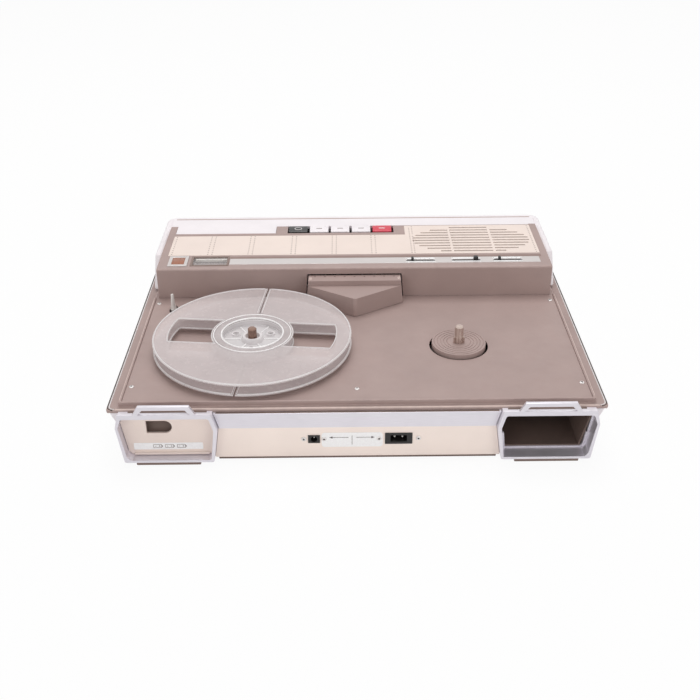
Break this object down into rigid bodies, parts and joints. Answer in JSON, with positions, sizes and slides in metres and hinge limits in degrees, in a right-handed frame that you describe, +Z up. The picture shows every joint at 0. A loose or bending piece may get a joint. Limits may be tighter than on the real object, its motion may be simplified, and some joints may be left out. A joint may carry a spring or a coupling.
{
  "type": "reel to reel tape recorder",
  "caption": "Portable reel to reel tape recorder with a clear reel, turning turntables, piano keys, slide controls, hinged head cover, battery door and a pull-out carry handle.",
  "frame": {"origin": "centre of the footprint, on the table under the feet", "axes": "+X to the right, +Y to the rear (controls), +Z up"},
  "size_m": [0.415, 0.344, 0.0879],
  "materials": {
    "white_plastic": "satin moulded white",
    "taupe_plastic": "fine grained taupe",
    "dark_plastic": "dull dark taupe",
    "cream_plastic": "satin cream",
    "silver_metal": "satin silver",
    "black_plastic": "dull black",
    "brass": "turned",
    "steel": "plain bright",
    "chrome": "polished",
    "clear_plastic": "frosted clear",
    "rubber": "dull",
    "red_plastic": "satin red",
    "amber_plastic": "clear amber",
    "board": "lacquered",
    "cell_metal": "printed can left plain"
  },
  "bodies": {
    "base": {"case_tub": "white_plastic", "rear_cover": "white_plastic", "deck_frame": "taupe_plastic", "deck_plate": "taupe_plastic", "control_housing": "taupe_plastic", "feet": "dark_plastic", "meter_case": "dark_plastic", "accessory_box": "dark_plastic", "front_panel": "cream_plastic", "grille_panel": "cream_plastic", "front_trim": "silver_metal", "left_frame": "silver_metal", "right_frame": "silver_metal", "control_strip": "silver_metal", "indicator_bezel": "silver_metal", "battery_box": "black_plastic", "dc_jack": "black_plastic", "ac_inlet": "black_plastic", "erase_head": "black_plastic", "socket_pins": "brass", "bearing_bushes": "brass", "screws": "steel", "chassis_plate": "steel", "head_plate": "steel", "record_head": "steel", "tape_guides": "steel", "motor": "steel", "slider_bodies": "steel", "key_shaft": "steel", "speaker": "steel", "transformer": "steel", "drive_belts": "rubber", "indicator_lens": "amber_plastic", "circuit_board": "board", "battery_cells": "cell_metal"},
    "supply": {"supply_turntable": "taupe_plastic", "supply_spindle": "steel"},
    "reel": {"reel_lower": "clear_plastic", "reel_upper": "clear_plastic", "reel_hub": "clear_plastic"},
    "takeup": {"takeup_turntable": "taupe_plastic", "takeup_spindle": "steel"},
    "capstan": {"capstan": "steel", "flywheel": "steel"},
    "motor_rotor": {"motor_pulley": "brass"},
    "rewind_key": {"rewind_key": "black_plastic"},
    "stop_key": {"stop_key": "white_plastic"},
    "play_key": {"play_key": "white_plastic"},
    "forward_key": {"forward_key": "white_plastic"},
    "record_key": {"record_key": "red_plastic"},
    "pinch_arm": {"pinch_arm": "steel"},
    "pinch_roller": {"pinch_roller": "rubber"},
    "volume_slider": {"volume_slider": "black_plastic"},
    "tone_slider": {"tone_slider": "black_plastic"},
    "speed_switch": {"speed_switch": "black_plastic"},
    "tension_lever": {"tension_lever": "chrome"},
    "battery_door": {"battery_door": "cream_plastic"},
    "head_cover": {"head_cover": "taupe_plastic"},
    "handle": {"handle": "white_plastic"},
    "meter_needle": {"meter_needle": "black_plastic"}
  },
  "joints": [
    {"name": "supply_spin", "type": "hinge", "parent": "base", "child": "supply", "pos_m": [-0.0928, -0.066, 0.05], "axis": [0, 0, 1], "continuous": true},
    {"name": "reel_lift", "type": "slide", "parent": "supply", "child": "reel", "axis": [0, 0, 1], "range_m": [0, 0.03]},
    {"name": "takeup_spin", "type": "hinge", "parent": "base", "child": "takeup", "pos_m": [0.0928, -0.066, 0.05], "axis": [0, 0, 1], "continuous": true},
    {"name": "capstan_spin", "type": "hinge", "parent": "base", "child": "capstan", "pos_m": [0.024, 0.0465, 0.05], "axis": [0, 0, 1], "continuous": true},
    {"name": "motor_spin", "type": "hinge", "parent": "base", "child": "motor_rotor", "pos_m": [-0.06, 0.0465, 0.05], "axis": [0, 0, 1], "continuous": true},
    {"name": "rewind_key_press", "type": "hinge", "parent": "base", "child": "rewind_key", "pos_m": [0, 0.1445, 0.076], "axis": [1, 0, 0], "range_deg": [0, 10], "stiffness_Nm_per_rad": 0.3},
    {"name": "stop_key_press", "type": "hinge", "parent": "base", "child": "stop_key", "pos_m": [0, 0.1445, 0.076], "axis": [1, 0, 0], "range_deg": [0, 10], "stiffness_Nm_per_rad": 0.3},
    {"name": "play_key_press", "type": "hinge", "parent": "base", "child": "play_key", "pos_m": [0, 0.1445, 0.076], "axis": [1, 0, 0], "range_deg": [0, 10], "stiffness_Nm_per_rad": 0.3},
    {"name": "forward_key_press", "type": "hinge", "parent": "base", "child": "forward_key", "pos_m": [0, 0.1445, 0.076], "axis": [1, 0, 0], "range_deg": [0, 10], "stiffness_Nm_per_rad": 0.3},
    {"name": "record_key_press", "type": "hinge", "parent": "base", "child": "record_key", "pos_m": [0, 0.1445, 0.076], "axis": [1, 0, 0], "range_deg": [0, 10], "stiffness_Nm_per_rad": 0.3},
    {"name": "pinch_swing", "type": "hinge", "parent": "base", "child": "pinch_arm", "pos_m": [-0.002, 0.022, 0.0535], "axis": [0, 0, 1], "range_deg": [0, 12]},
    {"name": "pinch_roller_spin", "type": "hinge", "parent": "pinch_arm", "child": "pinch_roller", "pos_m": [0.024, 0.0305, 0.05], "axis": [0, 0, 1], "continuous": true},
    {"name": "volume_slide", "type": "slide", "parent": "base", "child": "volume_slider", "axis": [1, 0, 0], "range_m": [-0.003, 0.019]},
    {"name": "tone_slide", "type": "slide", "parent": "base", "child": "tone_slider", "axis": [1, 0, 0], "range_m": [-0.003, 0.019]},
    {"name": "speed_slide", "type": "slide", "parent": "base", "child": "speed_switch", "axis": [1, 0, 0], "range_m": [-0.019, 0]},
    {"name": "lever_swing", "type": "hinge", "parent": "base", "child": "tension_lever", "pos_m": [-0.1585, 0.01, 0.05], "axis": [0, 0, 1], "range_deg": [-12, 12], "stiffness_Nm_per_rad": 0.02},
    {"name": "door_pull", "type": "slide", "parent": "base", "child": "battery_door", "axis": [0, -1, 0], "range_m": [0, 0.03]},
    {"name": "cover_open", "type": "hinge", "parent": "base", "child": "head_cover", "pos_m": [0, 0.0314, 0.0723], "axis": [-1, 0, 0], "range_deg": [0, 60]},
    {"name": "handle_pull", "type": "slide", "parent": "base", "child": "handle", "axis": [0, 1, 0], "range_m": [0, 0.03]},
    {"name": "needle_swing", "type": "hinge", "parent": "base", "child": "meter_needle", "pos_m": [-0.1425, 0.0455, 0.08], "axis": [0, 0, 1], "range_deg": [-18, 18], "stiffness_Nm_per_rad": 0.0002}
  ],
  "couplings": [
    {"joint": "motor_spin", "follows": "capstan_spin", "ratio": 7.6},
    {"joint": "pinch_swing", "follows": "play_key_press", "ratio": 1.2}
  ]
}
